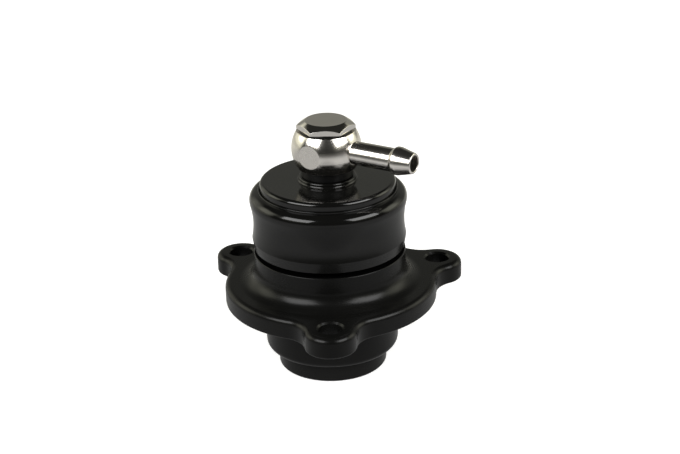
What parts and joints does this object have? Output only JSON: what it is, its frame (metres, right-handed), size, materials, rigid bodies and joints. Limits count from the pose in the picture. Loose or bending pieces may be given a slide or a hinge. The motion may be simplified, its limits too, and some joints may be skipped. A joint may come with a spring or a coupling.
{
  "type": "blow off valve",
  "caption": "Flange-mounted blow off valve: sprung piston in a black turned body with bolt lugs, clamp collar, cap and a plated banjo fitting with a barbed hose tail.",
  "frame": {"origin": "centre of the mounting face, on the valve's axis, where the spigot meets the flange", "axes": "+Z along the valve's axis, from the piston's nose towards the banjo; one lug of the pair points nearly along -Y"},
  "size_m": [0.0705, 0.0691, 0.0719],
  "materials": {
    "black_anodised": "satin black anodised, fine turning marks",
    "piston_black": "hard black anodised, turned",
    "bright_plate": "bright nickel plate",
    "washer_black": "black fibre",
    "seal_rubber": "smooth black rubber",
    "slide_band": "bronze-filled slide plastic",
    "spring_steel": "drawn wire"
  },
  "bodies": {
    "valve": {"base_body": "black_anodised", "flange_seal": "seal_rubber", "collar": "black_anodised", "cap": "black_anodised", "cap_seal": "seal_rubber", "main_spring": "spring_steel", "lower_washer": "washer_black", "upper_washer": "washer_black", "banjo_bolt": "bright_plate"},
    "piston": {"piston": "piston_black", "piston_seal": "seal_rubber", "guide_band": "slide_band"},
    "banjo": {"banjo_fitting": "bright_plate"}
  },
  "joints": [
    {"name": "piston_lift", "type": "slide", "parent": "valve", "child": "piston", "axis": [0, 0, 1], "range_m": [0, 0.008], "stiffness_N_per_m": 1600, "springref_m": -0.015, "deforming": ["main_spring"]},
    {"name": "banjo_swivel", "type": "hinge", "parent": "valve", "child": "banjo", "pos_m": [0, 0, 0.04417], "axis": [0, 0, 1], "continuous": true}
  ]
}
